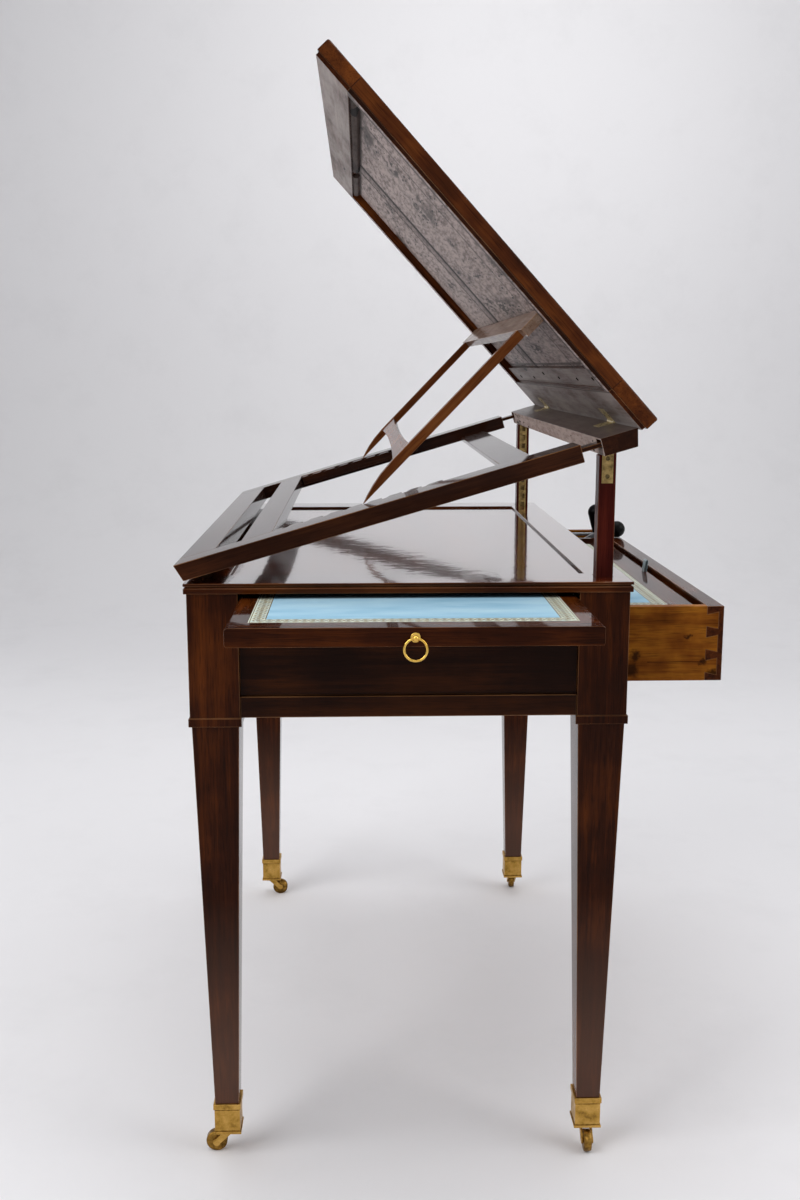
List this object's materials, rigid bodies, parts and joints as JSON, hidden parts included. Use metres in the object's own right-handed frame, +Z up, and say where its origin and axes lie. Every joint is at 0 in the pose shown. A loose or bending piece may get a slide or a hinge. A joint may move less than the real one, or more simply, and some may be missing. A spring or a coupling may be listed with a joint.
{
  "type": "architect table",
  "caption": "Mahogany writing table on castors: its board rises on cranked uprights and tilts on a ratchet prop, with a drawer under a sliding leather leaf and pull-out end slides.",
  "frame": {"origin": "centre of the overall box, on the floor, with the table as pictured", "axes": "+X towards the user's side with the drawer, +Y along the table away from the open slide, +Z up"},
  "size_m": [0.646, 1.0198, 1.2896],
  "materials": {
    "mahogany": "french polished",
    "board_wood": "worn polish",
    "drawer_lining": "waxed",
    "brass": "aged",
    "leather": "tooled",
    "steel": "worn",
    "ebony": "polished black"
  },
  "bodies": {
    "carcass": {"table_top": "mahogany", "top_panel": "mahogany", "leg_front_near": "mahogany", "leg_front_far": "mahogany", "leg_rear_near": "mahogany", "leg_rear_far": "mahogany", "end_rails": "mahogany", "end_panels": "mahogany", "back_panel": "mahogany", "front_top_rail": "mahogany", "front_bottom_rail": "mahogany", "runners": "drawer_lining", "dust_board": "drawer_lining", "sabots": "brass", "carcass_hinge_leaves": "brass", "escutcheons": "brass"},
    "lift": {"upright_near": "mahogany", "upright_far": "mahogany", "racks": "brass", "head_straps": "brass"},
    "gear_near": {"pinion_near": "steel"},
    "gear_far": {"pinion_far": "steel"},
    "frame": {"frame_rail_near": "mahogany", "frame_rail_far": "mahogany", "frame_cross_rails": "mahogany", "frame_ratchets": "mahogany", "frame_hinge_leaves": "brass"},
    "block": {"hinge_block": "mahogany", "block_fittings": "brass"},
    "board": {"board_panel": "board_wood", "board_end_rails": "board_wood", "board_sides": "board_wood", "board_hinge_leaves": "brass"},
    "prop": {"prop_arms": "board_wood", "prop_head": "board_wood", "prop_brace": "board_wood"},
    "drawer": {"drawer_front": "mahogany", "drawer_sides": "drawer_lining", "drawer_back": "drawer_lining", "drawer_bottom": "drawer_lining", "drawer_dividers": "drawer_lining", "crank_arms": "steel"},
    "leaf": {"writing_leaf": "mahogany", "leaf_leather": "leather"},
    "near_slide": {"slide_near": "mahogany", "slide_leather_near": "leather"},
    "far_slide": {"slide_far": "mahogany", "slide_leather_far": "leather"},
    "near_ring": {"pull_ring_near": "brass"},
    "far_ring": {"pull_ring_far": "brass"},
    "knob_a": {"crank_knob_a": "ebony"},
    "knob_b": {"crank_knob_b": "ebony"},
    "fork_front_near": {"caster_fork_front_near": "brass"},
    "wheel_front_near": {"caster_wheel_front_near": "brass"},
    "fork_front_far": {"caster_fork_front_far": "brass"},
    "wheel_front_far": {"caster_wheel_front_far": "brass"},
    "fork_rear_near": {"caster_fork_rear_near": "brass"},
    "wheel_rear_near": {"caster_wheel_rear_near": "brass"},
    "fork_rear_far": {"caster_fork_rear_far": "brass"},
    "wheel_rear_far": {"caster_wheel_rear_far": "brass"}
  },
  "joints": [
    {"name": "lift_slide", "type": "slide", "parent": "carcass", "child": "lift", "axis": [0, 0, 1], "range_m": [-0.142, 0.005]},
    {"name": "frame_tilt", "type": "hinge", "parent": "carcass", "child": "frame", "pos_m": [-0.31562, 0.07995, 0.719], "axis": [0, -1, 0], "range_deg": [-16.39, 0.59]},
    {"name": "block_tilt", "type": "hinge", "parent": "lift", "child": "block", "pos_m": [0.16638, 0.07995, 0.868], "axis": [0, -1, 0], "range_deg": [-16.39, 0.59]},
    {"name": "board_tilt", "type": "hinge", "parent": "block", "child": "board", "pos_m": [0.19258, 0.07995, 0.89056], "axis": [0, 1, 0], "range_deg": [-63.9, 0]},
    {"name": "prop_swing", "type": "hinge", "parent": "board", "child": "prop", "pos_m": [0.08796, 0.07995, 1.01441], "axis": [0, 1, 0], "range_deg": [-0.01, 93.51]},
    {"name": "gear_turn_near", "type": "hinge", "parent": "carcass", "child": "gear_near", "pos_m": [0.16638, -0.27905, 0.69175], "axis": [1, 0, 0], "range_deg": [-25.01, 707.58]},
    {"name": "gear_turn_far", "type": "hinge", "parent": "carcass", "child": "gear_far", "pos_m": [0.16638, 0.43895, 0.69175], "axis": [1, 0, 0], "range_deg": [-707.58, 25.01]},
    {"name": "drawer_slide", "type": "slide", "parent": "carcass", "child": "drawer", "axis": [1, 0, 0], "range_m": [-0.07, 0.2]},
    {"name": "leaf_slide", "type": "slide", "parent": "drawer", "child": "leaf", "axis": [1, 0, 0], "range_m": [-0.095, 0.005]},
    {"name": "near_slide_pull", "type": "slide", "parent": "carcass", "child": "near_slide", "axis": [0, -1, 0], "range_m": [-0.163, 0.1]},
    {"name": "far_slide_pull", "type": "slide", "parent": "carcass", "child": "far_slide", "axis": [0, 1, 0], "range_m": [0, 0.25]},
    {"name": "near_ring_swing", "type": "hinge", "parent": "near_slide", "child": "near_ring", "pos_m": [-0.05962, -0.50655, 0.69], "axis": [-1, 0, 0], "range_deg": [0, 92]},
    {"name": "far_ring_swing", "type": "hinge", "parent": "far_slide", "child": "far_ring", "pos_m": [-0.05962, 0.50345, 0.69], "axis": [1, 0, 0], "range_deg": [0, 92]},
    {"name": "knob_turn_a", "type": "hinge", "parent": "drawer", "child": "knob_a", "pos_m": [0.28788, 0.4052, 0.676], "axis": [0, 0, 1], "continuous": true},
    {"name": "knob_turn_b", "type": "hinge", "parent": "drawer", "child": "knob_b", "pos_m": [0.30938, 0.3672, 0.6914], "axis": [0, -1, 0], "continuous": true},
    {"name": "swivel_front_near", "type": "hinge", "parent": "carcass", "child": "fork_front_near", "pos_m": [0.16213, -0.3093, 0.03], "axis": [0, 0, 1], "continuous": true},
    {"name": "roll_front_near", "type": "hinge", "parent": "fork_front_near", "child": "wheel_front_near", "pos_m": [0.16213, -0.3243, 0.013], "axis": [1, 0, 0], "continuous": true},
    {"name": "swivel_front_far", "type": "hinge", "parent": "carcass", "child": "fork_front_far", "pos_m": [0.16213, 0.4692, 0.03], "axis": [0, 0, 1], "continuous": true},
    {"name": "roll_front_far", "type": "hinge", "parent": "fork_front_far", "child": "wheel_front_far", "pos_m": [0.16213, 0.4842, 0.013], "axis": [-1, 0, 0], "continuous": true},
    {"name": "swivel_rear_near", "type": "hinge", "parent": "carcass", "child": "fork_rear_near", "pos_m": [-0.28137, -0.3093, 0.03], "axis": [0, 0, 1], "continuous": true},
    {"name": "roll_rear_near", "type": "hinge", "parent": "fork_rear_near", "child": "wheel_rear_near", "pos_m": [-0.29637, -0.3093, 0.013], "axis": [0, -1, 0], "continuous": true},
    {"name": "swivel_rear_far", "type": "hinge", "parent": "carcass", "child": "fork_rear_far", "pos_m": [-0.28137, 0.4692, 0.03], "axis": [0, 0, 1], "continuous": true},
    {"name": "roll_rear_far", "type": "hinge", "parent": "fork_rear_far", "child": "wheel_rear_far", "pos_m": [-0.26637, 0.4692, 0.013], "axis": [0, 1, 0], "continuous": true}
  ],
  "couplings": [
    {"joint": "frame_tilt", "follows": "lift_slide", "rad_per_m": 2.0136},
    {"joint": "block_tilt", "follows": "lift_slide", "rad_per_m": 2.0136},
    {"joint": "gear_turn_near", "follows": "lift_slide", "rad_per_m": -86.957},
    {"joint": "gear_turn_far", "follows": "lift_slide", "rad_per_m": 86.957},
    {"joint": "prop_swing", "follows": "board_tilt", "ratio": -1.4628}
  ]
}
